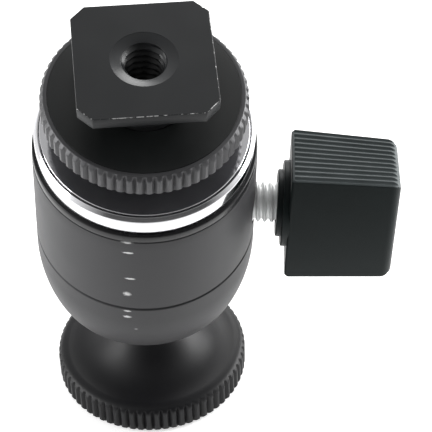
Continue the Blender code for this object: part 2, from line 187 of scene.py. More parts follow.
def block(name, size, middle):
    """A box of a given size round a middle point, in millimetres, left selected in edit mode."""
    bpy.ops.object.select_all(action="DESELECT")
    bpy.ops.mesh.primitive_cube_add(size=1, location=(0, 0, 0))
    obj = bpy.context.object
    obj.name = obj.data.name = name
    edit(obj)
    bpy.ops.mesh.select_all(action="SELECT")
    bpy.ops.transform.resize(value=tuple(side * MM for side in size))
    bpy.ops.transform.translate(value=tuple(along * MM for along in middle))
    return obj


def trace(name, points):
    """A chain of edges through points in millimetres, left open in edit mode."""
    bpy.ops.object.select_all(action="DESELECT")
    bpy.ops.mesh.primitive_plane_add(size=MM, location=(0, 0, 0))
    obj = bpy.context.object
    obj.name = obj.data.name = name
    edit(obj)
    bpy.ops.mesh.select_all(action="SELECT")
    bpy.ops.mesh.merge(type="CENTER")
    bpy.ops.transform.translate(value=Vector(points[0]) * MM)
    for here, there in zip(points, points[1:]):
        step = (Vector(there) - Vector(here)) * MM
        bpy.ops.mesh.extrude_vertices_move(TRANSFORM_OT_translate={"value": step})
    return obj


def turn(name, outline, sides, closed=True, radius_at=None):
    """A piece turned about Z from (radius, height) points in millimetres; it stays unplaced."""
    obj = trace(name, [(radius, 0, height) for radius, height in outline])
    if closed:
        form = bmesh.from_edit_mesh(obj.data)
        ends = [vertex for vertex in form.verts if len(vertex.link_edges) == 1]
        bpy.ops.mesh.select_all(action="DESELECT")
        for vertex in ends:
            vertex.select_set(True)
        bmesh.update_edit_mesh(obj.data)
        bpy.ops.mesh.edge_face_add()
    bpy.ops.mesh.select_all(action="SELECT")
    bpy.ops.mesh.spin(steps=sides, angle=2 * math.pi, center=(0, 0, 0), axis=(0, 0, 1))
    if radius_at:
        bpy.ops.mesh.select_all(action="SELECT")
        bpy.ops.mesh.remove_doubles(threshold=MERGE)
        reshape(obj, radius_at)
    close_up(obj)
    return obj


def combine(obj, other, operation):
    """Joins another closed mesh to this one, or cuts it away, and removes it."""
    boolean = obj.modifiers.new("Combine", "BOOLEAN")
    boolean.operation = operation
    boolean.solver = "EXACT"
    boolean.object = other
    choose(obj)
    bpy.ops.object.modifier_apply(modifier=boolean.name)
    bpy.data.objects.remove(other, do_unlink=True)


def cylinder_tool(radius, low, high, sides=64, top_radius=None):
    """A closed cylinder or cone along Z for cutting, sizes in millimetres."""
    bpy.ops.object.select_all(action="DESELECT")
    bpy.ops.mesh.primitive_cone_add(
        vertices=sides, radius1=radius * MM, radius2=(top_radius or radius) * MM,
        depth=(high - low) * MM, location=(0, 0, (high + low) / 2 * MM))
    tool = bpy.context.object
    bpy.ops.object.transform_apply(location=True, rotation=True, scale=True)
    return tool


def thread_wave(angle, height, pitch):
    """Depth of a sixty-degree thread at a point, 0 on its crest and 1 at its root."""
    phase = (height / pitch - angle / (2 * math.pi)) % 1
    away = abs(phase - 0.5) * 2     # 0 at the root, 1 at the crest
    return min(1, max(0, 1.25 - away * 1.5))        # crest and root are each flat over a sixth


def tooth_wave(angle, teeth):
    """Depth of a knurl at an angle, 0 on its flat crest and 1 at the bottom of the groove."""
    groove, flank = 0.62, 0.52      # shares of half a tooth
    phase = abs((angle * teeth / (2 * math.pi)) % 1 - 0.5) * 2      # 0 in the groove, 1 on the crest
    return min(1, max(0, (groove - phase) / flank))


def fluted(teeth, rim, depth, inner):
    """Radius of a knurled rim: straight grooves cut in from its side, as far in as the depth."""
    def radius_at(radius, angle, height):
        if radius < inner:
            return radius
        return min(radius, rim - depth * tooth_wave(angle, teeth))
    return radius_at


def even(start, end, step):
    """Evenly spaced values from start to end, no further apart than step."""
    count = max(1, math.ceil(abs(end - start) / step))
    return [start + (end - start) * index / count for index in range(count + 1)]


def deliver(obj, body, slot, material, *nodes):
    """Hands a finished piece over: finish, body and the CAD nodes it stands for; the slot argument is not
    used.
    """
    obj.data.materials.clear()
    obj.data.materials.append(material)
    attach(obj, body)
    if nodes:
        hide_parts(*nodes)


# ---------------------------------------------------------------- finishes

def add_node(tree, kind, settings=None, **sockets):
    """A shader node whose named inputs take values or are linked from other sockets."""
    node = tree.nodes.new("ShaderNode" + kind)
    for key, value in (settings or {}).items():
        setattr(node, key, value)
    for label, value in sockets.items():
        socket = node.inputs[int(label[1:])] if label[0] == "i" and label[1:].isdigit() else \
            node.inputs[label.replace("_", " ")]
        if isinstance(value, bpy.types.NodeSocket):
            tree.links.new(value, socket)
        else:
            socket.default_value = value
    return node


def maths(tree, operation, first, second=0.0, third=0.0):
    return add_node(tree, "Math", {"operation": operation}, i0=first, i1=second, i2=third).outputs[0]


def map_range(tree, value, start, end, low=0.0, high=1.0):
    """A value that goes from low to high as another goes from start to end, and holds beyond both."""
    node = add_node(tree, "MapRange", Value=value)
    for label, number in (("From Min", start), ("From Max", end), ("To Min", low), ("To Max", high)):
        node.inputs[label].default_value = number
    return node.outputs[0]


def new_group(name, inputs, outputs):
    """An empty node group with named sockets, its input node and its output node."""
    tree = bpy.data.node_groups.new(name, "ShaderNodeTree")
    for label, kind, value in inputs:
        socket = tree.interface.new_socket(label, in_out="INPUT", socket_type="NodeSocket" + kind)
        if kind != "Vector":
            socket.default_value = value
    for label, kind in outputs:
        tree.interface.new_socket(label, in_out="OUTPUT", socket_type="NodeSocket" + kind)
    return tree, tree.nodes.new("NodeGroupInput"), tree.nodes.new("NodeGroupOutput")


def grain_group():
    """Even fine pits, as left by bead blasting or a mould's texture."""
    tree, given, result = new_group(
        "Fine grain", [("Vector", "Vector", None), ("Size", "Float", 0.0001)], [("Height", "Float")])
    scale = maths(tree, "DIVIDE", 1.0, given.outputs["Size"])
    coarse = add_node(tree, "TexNoise", Vector=given.outputs["Vector"], Scale=scale, Detail=2.0,
                      Roughness=0.6)
    pits = add_node(tree, "TexVoronoi", {"feature": "SMOOTH_F1"}, Vector=given.outputs["Vector"],
                    Scale=maths(tree, "MULTIPLY", scale, 0.8), Smoothness=0.6)
    height = maths(tree, "ADD", coarse.outputs[0], maths(tree, "MULTIPLY", pits.outputs[0], 0.5))
    tree.links.new(height, result.inputs["Height"])
    return tree


def lines_group():
    """Fine lines round the piece's own axis, as left by turning on a lathe."""
    tree, given, result = new_group(
        "Turned lines", [("Vector", "Vector", None), ("Spacing", "Float", 0.0001)],
        [("Height", "Float"), ("Band", "Float")])
    parts = add_node(tree, "SeparateXYZ", Vector=given.outputs["Vector"])
    flat = add_node(tree, "CombineXYZ", X=parts.outputs[0], Y=parts.outputs[1])
    radius = add_node(tree, "VectorMath", {"operation": "LENGTH"}, i0=flat.outputs[0]).outputs["Value"]
    across = add_node(tree, "CombineXYZ", X=maths(tree, "DIVIDE", radius, given.outputs["Spacing"]),
                      Z=maths(tree, "DIVIDE", parts.outputs[2], given.outputs["Spacing"]))
    fine = add_node(tree, "TexNoise", Vector=across.outputs[0], Scale=1.0, Detail=2.0)
    broad = add_node(tree, "TexNoise", Vector=across.outputs[0], Scale=0.13, Detail=1.0)
    tree.links.new(fine.outputs[0], result.inputs["Height"])
    tree.links.new(broad.outputs[0], result.inputs["Band"])
    return tree


def specks_group():
    """Sparse small dust specks."""
    tree, given, result = new_group(
        "Dust specks",
        [("Vector", "Vector", None), ("Spacing", "Float", 0.002), ("Share", "Float", 0.2),
         ("Radius", "Float", 0.08)],
        [("Mask", "Float")])
    scale = maths(tree, "DIVIDE", 1.0, given.outputs["Spacing"])
    warp = add_node(tree, "TexNoise", Vector=given.outputs["Vector"],
                    Scale=maths(tree, "MULTIPLY", scale, 6.0))
    bent = add_node(tree, "VectorMath", {"operation": "MULTIPLY_ADD"}, i0=warp.outputs["Color"],
                    i1=(0.00012, 0.00012, 0.00012), i2=given.outputs["Vector"])
    cells = add_node(tree, "TexVoronoi", Vector=bent.outputs[0], Scale=scale)
    chosen = add_node(tree, "SeparateColor", Color=cells.outputs["Color"])
    kept = maths(tree, "LESS_THAN", chosen.outputs[0], given.outputs["Share"])
    size = maths(tree, "MULTIPLY", given.outputs["Radius"], maths(tree, "ADD", chosen.outputs[1], 0.3))
    near = maths(tree, "LESS_THAN", cells.outputs["Distance"], size)
    tree.links.new(maths(tree, "MULTIPLY", kept, near), result.inputs["Mask"])
    return tree


def wear_group():
    """Bare metal on edges that carry a wear attribute, broken up along their length."""
    tree, given, result = new_group(
        "Edge wear",
        [("Vector", "Vector", None), ("Wear", "Float", 0.0), ("Size", "Float", 0.001)], [("Mask", "Float")])
    scale = maths(tree, "DIVIDE", 1.0, given.outputs["Size"])
    broken = add_node(tree, "TexNoise", Vector=given.outputs["Vector"], Scale=scale, Detail=4.0,
                      Roughness=0.7)
    bare_from, bare_to = 1.12, 1.2
    total = maths(tree, "ADD", broken.outputs[0], given.outputs["Wear"])
    tree.links.new(map_range(tree, total, bare_from, bare_to), result.inputs["Mask"])
    return tree


def scratch_group():
    """Thin hairline scratches that run one way."""
    tree, given, result = new_group(
        "Scratches", [("Vector", "Vector", None), ("Spacing", "Float", 0.001), ("Share", "Float", 0.1)],
        [("Mask", "Float")])
    scale = maths(tree, "DIVIDE", 1.0, given.outputs["Spacing"])
    long = add_node(tree, "VectorMath", {"operation": "MULTIPLY"}, i0=given.outputs["Vector"],
                    i1=(1.0, 0.09, 0.3))
    hair = add_node(tree, "TexNoise", {"noise_type": "RIDGED_MULTIFRACTAL"}, Vector=long.outputs[0],
                    Scale=scale,
                    Detail=2.0)
    patch = add_node(tree, "TexNoise", Vector=given.outputs["Vector"],
                     Scale=maths(tree, "MULTIPLY", scale, 0.35))
    level = maths(tree, "SUBTRACT", 1.0, given.outputs["Share"])
    mask = maths(tree, "MULTIPLY", maths(tree, "GREATER_THAN", patch.outputs[0], level),
                 maths(tree, "GREATER_THAN", hair.outputs[0], 0.93))
    tree.links.new(mask, result.inputs["Mask"])
    return tree


# Rub marks on the barrel, in millimetres in the housing's frame:
# x, y, z, half width, half height and strength
SCUFFS = (
    (-5.33, -14.9, 29.6, 0.75, 0.34, 0.55),
    (-5.29, -15.15, 27.0, 0.75, 0.22, 0.75),
    (-5.13, -15.36, 20.3, 0.72, 0.22, 1.0),
    (-5.6, -15.29, 16.1, 0.62, 0.62, 0.4),
    (-5.68, -15.36, 11.3, 0.65, 0.26, 0.45),
    (-5.71, -15.39, 9.7, 0.6, 0.3, 0.6),
    (-4.47, -15.77, 6.2, 0.3, 0.25, 0.15),
)


def scuffs_group():
    """Short pale rub marks round given points, broken up by fine noise."""
    reach, raggedness, contrast = 1.95, 1.7, 3.0
    tree, given, result = new_group("Scuffs", [("Vector", "Vector", None)], [("Mask", "Float")])
    noise = add_node(tree, "TexNoise", Vector=given.outputs["Vector"], Scale=3500.0, Detail=3.0,
                     Roughness=0.7)
    ragged = maths(tree, "MULTIPLY", noise.outputs[0], raggedness)
    strongest = None
    for x, y, z, half_width, half_height, strength in SCUFFS:
        offset = add_node(tree, "VectorMath", {"operation": "SUBTRACT"}, i0=given.outputs["Vector"],
                          i1=(x * MM, y * MM, z * MM))
        scaled = add_node(tree, "VectorMath", {"operation": "MULTIPLY"}, i0=offset.outputs[0],
                          i1=(1 / half_width / MM, 1 / half_width / MM, 1 / half_height / MM))
        away = add_node(tree, "VectorMath", {"operation": "LENGTH"}, i0=scaled.outputs[0]).outputs["Value"]
        fade = maths(tree, "SUBTRACT", reach, maths(tree, "ADD", away, ragged))
        patch = maths(tree, "MULTIPLY", fade, strength * contrast)
        strongest = patch if strongest is None else maths(tree, "MAXIMUM", strongest, patch)
    limited = add_node(tree, "Clamp", Value=strongest)
    tree.links.new(limited.outputs[0], result.inputs["Mask"])
    return tree


GROUPS = {}


def shared(name):
    """A node group, made the first time that it is asked for."""
    makers = {"grain": grain_group, "lines": lines_group, "specks": specks_group, "wear": wear_group,
              "scratches": scratch_group, "scuffs": scuffs_group}
    if name not in GROUPS:
        GROUPS[name] = makers[name]()
    return GROUPS[name]


def use(tree, name, **values):
    """Places a shared node group in a material with its own values."""
    node = tree.nodes.new("ShaderNodeGroup")
    node.node_tree = shared(name)
    for label, value in values.items():
        if isinstance(value, bpy.types.NodeSocket):
            tree.links.new(value, node.inputs[label])
        else:
            node.inputs[label].default_value = value
    return node


def blend_colour(tree, amount, first, second):
    """Mix of two colours or colour sockets by a mask."""
    node = add_node(tree, "Mix", {"data_type": "RGBA"})
    for socket, value in ((node.inputs[0], amount), (node.inputs[6], first), (node.inputs[7], second)):
        if isinstance(value, bpy.types.NodeSocket):
            tree.links.new(value, socket)
        else:
            socket.default_value = value
    return node.outputs[2]


def blend_value(tree, amount, first, second):
    """Mix of two values by a mask."""
    return add_node(tree, "Mix", {"data_type": "FLOAT"}, i0=amount, i2=first, i3=second).outputs[0]


def finish(name, colour, roughness, place=PLATFORM, metallic=0.0, specular=0.5, mottle=0.12,
           mottle_size=0.004,
           grain=None, lines=None, specks=None, scratches=None, wear=None, scuffs=None, painted_rib_light=None):
    """One material: a base colour with slow mottling, and the surface marks that it is given.

    grain is (size, depth); lines is (spacing, depth, shade); specks is (spacing, share, radius, brightness);
    scratches is (spacing, share, brightness); wear is (size, brightness); scuffs is their brightness;
    The last colour is painted on faces that carry its own attribute, broken up by the mottling: a painted
    highlight for the light that falls on the knob's ribbed faces.
    """
    material = bpy.data.materials.new(name)
    material.use_nodes = True
    tree = material.node_tree
    shader = tree.nodes["Principled BSDF"]
    shader.inputs["Specular IOR Level"].default_value = specular
    where = add_node(tree, "TexCoord").outputs["Object"]
    mapping = add_node(tree, "Mapping", {"vector_type": "TEXTURE"}, Vector=where)
    mapping.inputs["Location"].default_value = place.translation
    mapping.inputs["Rotation"].default_value = place.to_euler()
    own = mapping.outputs[0]

    clouds = add_node(tree, "TexNoise", Vector=own, Scale=1.0 / mottle_size, Detail=3.0).outputs[0]
    dark = tuple(channel * (1 - mottle) for channel in colour) + (1.0,)
    light = tuple(min(1.0, channel * (1 + mottle)) for channel in colour) + (1.0,)
    tint = blend_colour(tree, clouds, dark, light)
    rough = blend_value(tree, clouds, roughness - 0.04, roughness + 0.05)
    metal = metallic
    normal = None

    def relief(height, depth):
        nonlocal normal
        bump = add_node(tree, "Bump", Height=height, Strength=1.0, Distance=depth)
        if normal:
            tree.links.new(normal, bump.inputs["Normal"])
        normal = bump.outputs[0]

    def paint(mask, bright):
        nonlocal tint
        tint = blend_colour(tree, mask, tint, (bright, bright, bright, 1.0))

    if lines:
        spacing, depth, shade = lines
        marks = use(tree, "lines", Vector=own, Spacing=spacing)
        relief(marks.outputs["Height"], depth)
        if shade:
            rough = maths(tree, "ADD", rough,
                          maths(tree, "MULTIPLY_ADD", marks.outputs["Band"], shade, -shade / 2))
    if grain:
        size, depth = grain
        relief(use(tree, "grain", Vector=own, Size=size).outputs["Height"], depth)
    if scratches:
        spacing, share, bright = scratches
        paint(use(tree, "scratches", Vector=own, Spacing=spacing, Share=share).outputs["Mask"], bright)
    if specks:
        spacing, share, radius, bright = specks
        paint(use(tree, "specks", Vector=own, Spacing=spacing, Share=share, Radius=radius).outputs["Mask"],
              bright)
    # faces that carry the attribute are painted in the given lighter colour, a painted highlight
    if painted_rib_light:
        lit_rib_faces = add_node(tree, "Attribute", {"attribute_name": "painted_rib_light"}).outputs["Fac"]
        patchy = maths(tree, "MULTIPLY", lit_rib_faces, maths(tree, "MULTIPLY_ADD", clouds, 0.6, 0.6))
        tint = blend_colour(tree, patchy, tint, painted_rib_light + (1.0,))
    if scuffs:
        paint(use(tree, "scuffs", Vector=own).outputs["Mask"], scuffs)
    if wear:
        size, bright = wear
        edge = add_node(tree, "Attribute", {"attribute_name": "wear"}).outputs["Fac"]
        mask = use(tree, "wear", Vector=own, Wear=edge, Size=size).outputs["Mask"]
        paint(mask, bright)
        rough = blend_value(tree, mask, rough, 0.3)
        metal = blend_value(tree, mask, metallic, 1.0)
    tree.links.new(tint, shader.inputs["Base Color"])
    tree.links.new(rough, shader.inputs["Roughness"])
    if isinstance(metal, bpy.types.NodeSocket):
        tree.links.new(metal, shader.inputs["Metallic"])
    else:
        shader.inputs["Metallic"].default_value = metal
    if normal:
        tree.links.new(normal, shader.inputs["Normal"])
    return material


# ---------------------------------------------------------------- settings

def colour_setting(name, description, default):
    return bpy.props.FloatVectorProperty(name=name, description=description, subtype="COLOR", size=3, min=0,
                                         max=1,
                                         default=default)


def length_setting(name, description, default):
    return bpy.props.FloatProperty(name=name, description=description, unit="LENGTH", min=0, precision=5,
                                   default=default)


class BallHeadColours(bpy.types.PropertyGroup):
    """Colours of the finishes."""
    anodised: colour_setting("Shoe foot", "Satin black of the shoe plate and its post", (0.013, 0.014, 0.015))
    nut: colour_setting("Lock nut", "Black of the knurled nut", (0.055, 0.055, 0.058))
    washer: colour_setting("Washer", "Satin black of the nut's washer", (0.004, 0.005, 0.005))
    gloss: colour_setting("Lip ring", "Glossy black of the lip ring", (0.006, 0.006, 0.007))
    trim: colour_setting("Trim ring and cap", "Bright turned metal", (0.76, 0.76, 0.78))
    barrel: colour_setting("Housing", "Bead-blasted grey black", (0.033, 0.033, 0.035))
    platform: colour_setting("Platform", "Black of the camera platform", (0.004, 0.004, 0.005))
    neck: colour_setting("Ball", "Blackened steel of the ball and neck", (0.02, 0.02, 0.022))
    zinc: colour_setting("Zinc", "Zinc plate of the screws", (0.92, 0.95, 0.94))
    plastic: colour_setting("Knob", "Moulded greenish black", (0.0075, 0.012, 0.012))
    rubber: colour_setting("Pad", "Rubber of the platform's pad", (0.012, 0.012, 0.012))


class BallHeadSizes(bpy.types.PropertyGroup):
    """Sizes of the details; the main sizes come from the frame."""
    nut_teeth: bpy.props.IntProperty(name="Nut teeth", description="Knurls round the lock nut", default=66,
                                     min=12)
    platform_teeth: bpy.props.IntProperty(name="Platform teeth", description="Knurls round the platform",
                                          default=70, min=12)
    knurl_depth: length_setting("Knurl depth", "Depth of the grooves round both rims", 0.52 * MM)
    edge: length_setting("Edge", "Rounding of the turned edges", 0.15 * MM)
    knob_ribs: bpy.props.IntProperty(name="Knob ribs", description="Ribs on each narrow face of the wing",
                                     default=10, min=2)
    rib_depth: length_setting("Rib depth", "Depth of the grooves between the ribs", 0.36 * MM)
    wing_roll: bpy.props.FloatProperty(name="Wing roll", description="Turn of the wing about the clamp screw",
                                       subtype="ANGLE", default=math.radians(-19.3))
    shoe_turn: bpy.props.FloatProperty(name="Shoe turn",
                                       description="Turn of the shoe plate about the housing",
                                       subtype="ANGLE", default=math.radians(-6.3))


def colours():
    return bpy.context.scene.ball_head_colours


def sizes():
    return bpy.context.scene.ball_head_sizes


# ---------------------------------------------------------------- pieces

def make_platform():
    """Knurled disc that flares up to the neck, its rubber pad and its screw."""
    low, top, rim = measure("camera_platform", PLATFORM)
    pad_low, pad_top, pad_radius = measure("platform_pad", PLATFORM)
    screw_low, screw_top, screw_radius = measure("camera_screw", PLATFORM)
    hub, flare_edge, flare_low, rim_top, neck_bore = 4.5, 13.75, 5.25, 4.2, 3.0
    flare = []
    for along in even(0, 1, 1 / 26):
        flare.append((hub + (flare_edge - hub) * along, flare_low + (top - flare_low) * (1 - along) ** 2.3))
    shoulder = rounded([flare[-1] + (0,), (14.7, 4.98, 0.5), (rim, rim_top, 0.4), (rim, low + 0.3, 0.15),
                        (rim - 0.25, low, 0.1), (pad_radius + GAP, low, 0)], closed=False, steps=5)
    inside = rounded([(pad_radius + GAP, low, 0), (pad_radius + GAP, pad_top + GAP, 0),
                      (screw_radius + GAP, pad_top + GAP, 0), (screw_radius + GAP, screw_top + GAP, 0),
                      (neck_bore, screw_top + GAP, 0), (neck_bore, top, 0)], closed=False)
    outline = flare + shoulder[1:] + inside[1:]
    teeth = sizes().platform_teeth
    disc = turn("platform_disc", outline, teeth * 8,
                radius_at=fluted(teeth, rim, sizes().knurl_depth / MM, flare_edge))
    settle(disc, PLATFORM)
    black = finish("platform_black", colours().platform, 0.46, specular=0.26, mottle=0.2,
                   grain=(0.00012, 0.000003),
                   lines=(0.00025, 0.0000015, 0.05), specks=(0.0035, 0.05, 0.05, 0.25))
    deliver(disc, "platform", "platform_metal", black, "camera_platform")

    corners = [(screw_radius + 0.6, pad_low, 0.1), (screw_radius + 0.6, pad_top, 0.1),
               (pad_radius, pad_top, 0.15),
               (pad_radius, pad_low, 0.25)]
    for radius in (11.6, 9.6, 7.6, 5.6):
        corners += [(radius + 0.25, pad_low, 0.08), (radius + 0.1, pad_low + 0.3, 0.08),
                    (radius - 0.1, pad_low + 0.3, 0.08), (radius - 0.25, pad_low, 0.08)]
    pad = turn("rubber_pad", rounded(corners, steps=2), 96)
    settle(pad, PLATFORM)
    rubber = finish("pad_rubber", colours().rubber, 0.82, mottle=0.25, grain=(0.00015, 0.000008),
                    specular=0.3)
    deliver(pad, "platform", "pad_rubber", rubber, "platform_pad")

    screw = threaded_rod("platform_screw", screw_radius, screw_low, screw_top, QUARTER_INCH_PITCH)
    settle(screw, PLATFORM)
    deliver(screw, "platform", "zinc_steel", zinc_finish("platform_zinc", PLATFORM), "camera_screw")


def threaded_rod(name, radius, low, high, pitch, depth=None, sides=60):
    """A rod with a chamfered thread along its whole length; it stays unplaced."""
    depth = depth or pitch * 0.54
    chamfer = depth * 1.1
    outline = [(0, high), (radius - chamfer, high)]
    outline += [(radius - chamfer * (1 - step / 3), high - chamfer * step / 3) for step in (1, 2, 3)]
    outline += [(radius, height) for height in even(high - chamfer, low + chamfer, pitch / 10)[1:-1]]
    outline += [(radius - chamfer * (1 - step / 3), low + chamfer * step / 3) for step in (3, 2, 1)]
    outline += [(radius - chamfer, low), (0, low)]

    def radius_at(at, angle, height):
        if at < radius - chamfer * 0.99:
            return at
        return min(at, radius - depth * thread_wave(angle, height, pitch))

    return turn(name, outline, sides, closed=False, radius_at=radius_at)


def zinc_finish(name, place):
    return finish(name, colours().zinc, 0.38, place, metallic=0.2, mottle=0.14, mottle_size=0.0012,
                  grain=(0.0002, 0.000006), lines=(0.0002, 0.000002, 0.1))


def make_ball():
    """Ball and neck, turned from one bar."""
    low, high, radius = measure("ball_and_neck", Matrix.Translation(BALL_CENTRE))
    neck, spigot = 4.0, 2.7
    foot_height = 12.3      # over the platform's face
    foot = foot_height - BALL_CENTRE.z / MM
    meets = -math.acos(neck / radius)
    outline = [(0, radius)]
    for angle in even(math.pi / 2, meets, math.radians(4))[1:]:
        outline.append((radius * math.cos(angle), radius * math.sin(angle)))
    outline += rounded([(neck, outline[-1][1] - 0.01, 0), (neck, foot, 0.2), (spigot, foot, 0),
                        (spigot, low, 0.3),
                        (0, low, 0)], closed=False)
    ball = turn("ball_and_neck_bar", outline, 96, closed=False)
    place = Matrix.Translation(BALL_CENTRE)
    settle(ball, place)
    steel = finish("ball_steel", colours().neck, 0.28, place, metallic=0.6, lines=(0.00015, 0.000001, 0.05))
    deliver(ball, "ball", "dark_steel", steel, "ball_and_neck")


def make_housing():
    """Barrel and dome in one piece, with a groove where they meet and a hole for the clamp screw."""
    low, top, widest = measure("housing", HOUSING)
    barrel_top, dome_radius, dome_start, dome_curve, corner = 16.0, widest, 8.0, 31.0, 6.0
    mouth, bore, thread_bore, thread_floor = 9.5, 12.6, 13.3, 23.5
    groove, groove_half, groove_depth = 12.0, 0.3, 0.3
    shelf, clamp_hole = -3.7, 3.3
    edge = sizes().edge / MM

    def wall(height):
        if height >= dome_start:
            return barrel_top + (dome_radius - barrel_top) * (top - height) / (top - dome_start)
        return dome_radius - dome_curve + math.sqrt(dome_curve ** 2 - (dome_start - height) ** 2)

    outline = rounded([(thread_bore, top - 2, 0), (thread_bore, top, edge), (wall(top), top, edge),
                       (wall(top - 2), top - 2, 0)], closed=False)
    outline += [(wall(height), height) for height in even(top - 3, groove + 1, 1.0)]
    outline += rounded([(wall(groove + 0.5), groove + 0.5, 0),
                        (wall(groove + groove_half), groove + groove_half, 0.1),
                        (wall(groove) - groove_depth, groove + 0.04, 0.06),
                        (wall(groove) - groove_depth, groove - 0.04, 0.06),
                        (wall(groove - groove_half), groove - groove_half, 0.1),
                        (wall(groove - 0.5), groove - 0.5, 0)],
                       closed=False)
    corner_height = low + corner
    join = math.asin((dome_start - corner_height) / (dome_curve - corner))
    corner_start = corner_height - corner * math.sin(join)
    outline += [(wall(height), height) for height in even(groove - 1, corner_start, 0.5)]
    corner_centre = wall(corner_start) - corner * math.cos(join)
    outline += [(corner_centre + corner * math.cos(angle), corner_height + corner * math.sin(angle))
                for angle in even(-join, -math.pi / 2, math.radians(4))[1:]]
    outline += rounded([outline[-1] + (0,), (mouth, low, 0.3), (mouth + 0.6, shelf, 0.1), (bore, shelf, 0.1),
                        (bore, thread_floor, 0), (thread_bore, thread_floor, 0)], closed=False)[1:]
    shell = turn("barrel_and_dome", outline, 192)
    hole = cylinder_tool(clamp_hole, bore - 3, widest + 3)
    settle(hole, Matrix.Translation((0, 0, CLAMP_HEIGHT)) @ Matrix.Rotation(CLAMP_TURN, 4, "Z")
           @ Matrix.Rotation(math.radians(90), 4, "Y"))
    combine(shell, hole, "DIFFERENCE")
    settle(shell, HOUSING, smooth=28)
    blasted = finish("blasted_black", colours().barrel, 0.46, HOUSING, specular=0.2, mottle=0.08,
                     grain=(0.00011, 0.000010), specks=(0.0026, 0.06, 0.045, 0.30), scuffs=0.6)
    deliver(shell, "head", "housing_metal", blasted, "housing")


def make_top_rings():
    """Lip ring, bright trim ring and the cap inside it."""
    edge = sizes().edge / MM
    low, high, radius = measure("lip_ring", HOUSING)
    inner = 13.3
    # both rings reach down to leave hairline joints, and the lip's top makes room for the trim
    lip_reach, lip_room, trim_reach, trim_proud = 0.22, 0.15, 0.42, 0.12
    low, high = low - lip_reach, high - lip_room
    lip = turn("lip_band", rounded([(radius, low, edge), (radius, high, 0.35), (inner, high, edge),
                                    (inner, low, edge)]), 192)
    settle(lip, HOUSING)
    lip_black = finish("lip_black", colours().gloss, 0.27, HOUSING, specular=0.25, mottle=0.1,
                       lines=(0.00012, 0.0000015, 0.05))
    deliver(lip, "head", "gloss_black", lip_black, "lip_ring")

    low, high, radius = measure("trim_ring", HOUSING)
    cap_low, cap_high, flange = measure("base_cap", HOUSING)
    flange_floor = 32.3
    radius, low = radius + trim_proud, low - trim_reach
    trim = turn("bright_band", rounded([
        (flange + 0.1, high - 0.02, 0.03), (radius - 0.48, high, 0.05), (radius, high - 0.6, 0.1),
        (radius, low, 0.08), (inner, low, 0.1), (inner, flange_floor, 0), (flange + 0.1, flange_floor, 0)]),
        192)
    settle(trim, HOUSING)
    bright = finish("bright_trim", colours().trim, 0.1, HOUSING, metallic=1.0, mottle=0.03,
                    lines=(0.00009, 0.0000008, 0.03))
    deliver(trim, "head", "bright_trim", bright, "trim_ring")

    pocket, pocket_top, stud_bore, spigot = 7.7, 28.2, 3.4, 13.0
    cap = turn("polished_cap", rounded([
        (flange, cap_high, 0.12), (flange, 32.6, 0.1), (spigot, 32.6, 0), (spigot, cap_low, 0.3),
        (pocket, cap_low, 0.1), (pocket, pocket_top, 0), (stud_bore, pocket_top, 0),
        (stud_bore, cap_high, 0.1)]), 192)
    settle(cap, HOUSING)
    polished = finish("polished_metal", colours().trim, 0.1, HOUSING, metallic=1.0, mottle=0.05,
                      lines=(0.00016, 0.0000016, 0.08), scratches=(0.0012, 0.35, 0.35))
    deliver(cap, "head", "bright_trim", polished, "base_cap")


